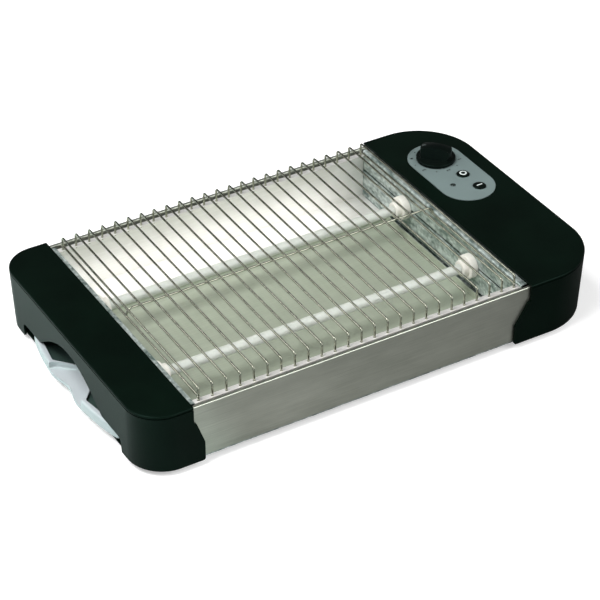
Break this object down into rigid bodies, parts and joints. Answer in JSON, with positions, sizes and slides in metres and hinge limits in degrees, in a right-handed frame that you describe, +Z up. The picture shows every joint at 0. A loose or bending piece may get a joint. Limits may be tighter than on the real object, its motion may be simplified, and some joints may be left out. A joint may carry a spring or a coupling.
{
  "type": "flat bread toaster",
  "caption": "Flat toaster: wire rack over two quartz tube heaters in a steel-sided chamber between moulded end caps, with timer knob, buttons and slide-out crumb tray.",
  "frame": {"origin": "on the table, under the middle of the whole toaster's box", "axes": "+X along the toaster towards the control panel, +Y to the back, +Z up"},
  "size_m": [0.4342, 0.255, 0.0762],
  "materials": {
    "black_plastic": "fine-grained black ABS with a green tint",
    "black_rubber": "matt rubber",
    "brushed_steel": "brushed lengthwise",
    "tinplate": "bright tinplate",
    "galvanised_steel": "galvanised sheet",
    "chromed_wire": "plated wire",
    "milky_quartz": "milky fused quartz",
    "ceramic": "unglazed steatite ceramic",
    "panel_grey": "satin grey",
    "grey_plastic": "satin light grey",
    "board_green": "solder mask",
    "white_sleeve": "white insulation",
    "lens": "dark tinted lens",
    "plated_steel": "nickel plate"
  },
  "bodies": {
    "housing": {"left_end_cap": "black_plastic", "right_end_cap": "black_plastic", "front_wall": "brushed_steel", "rear_wall": "brushed_steel", "base_plate": "galvanised_steel", "left_bottom_cover": "black_plastic", "right_bottom_cover": "black_plastic", "front_left_foot": "black_rubber", "rear_left_foot": "black_rubber", "front_right_foot": "black_rubber", "rear_right_foot": "black_rubber", "front_left_base_screw": "plated_steel", "rear_left_base_screw": "plated_steel", "front_right_base_screw": "plated_steel", "rear_right_base_screw": "plated_steel", "front_board_screw": "plated_steel", "rear_board_screw": "plated_steel", "front_reflector": "tinplate", "rear_reflector": "tinplate", "left_upper_plate": "galvanised_steel", "left_lower_plate": "galvanised_steel", "right_upper_plate": "galvanised_steel", "right_lower_plate": "galvanised_steel", "front_quartz_tube": "milky_quartz", "rear_quartz_tube": "milky_quartz", "front_heating_coil": "plated_steel", "rear_heating_coil": "plated_steel", "front_left_ceramic": "ceramic", "front_right_ceramic": "ceramic", "rear_left_ceramic": "ceramic", "rear_right_ceramic": "ceramic", "heater_link_strap": "plated_steel", "front_heater_lead": "white_sleeve", "rear_heater_lead": "white_sleeve", "toast_rack": "chromed_wire", "control_panel": "panel_grey", "indicator_lens": "lens", "indicator_lamp": "white_sleeve", "control_board": "board_green", "timer_potentiometer": "plated_steel", "off_switch": "plated_steel", "start_switch": "plated_steel", "relay": "black_plastic", "transformer": "plated_steel", "terminal_block": "white_sleeve", "cable_gland": "black_plastic"},
    "knob": {"timer_knob": "black_plastic", "knob_shaft": "plated_steel"},
    "off_key": {"off_button": "black_plastic"},
    "start_key": {"start_button": "black_plastic"},
    "tray": {"crumb_tray": "tinplate", "tray_handle": "grey_plastic"}
  },
  "joints": [
    {"name": "knob_turn", "type": "hinge", "parent": "housing", "child": "knob", "pos_m": [0.17759, 0.0715, 0.0589], "axis": [0, 0, 1], "range_deg": [-74, 197]},
    {"name": "off_press", "type": "slide", "parent": "housing", "child": "off_key", "axis": [0, 0, -1], "range_m": [0, 0.002], "stiffness_N_per_m": 600, "springref_m": -0.001},
    {"name": "start_press", "type": "slide", "parent": "housing", "child": "start_key", "axis": [0, 0, -1], "range_m": [0, 0.002], "stiffness_N_per_m": 600, "springref_m": -0.001},
    {"name": "tray_slide", "type": "slide", "parent": "housing", "child": "tray", "axis": [-1, 0, 0], "range_m": [0, 0.32]}
  ]
}
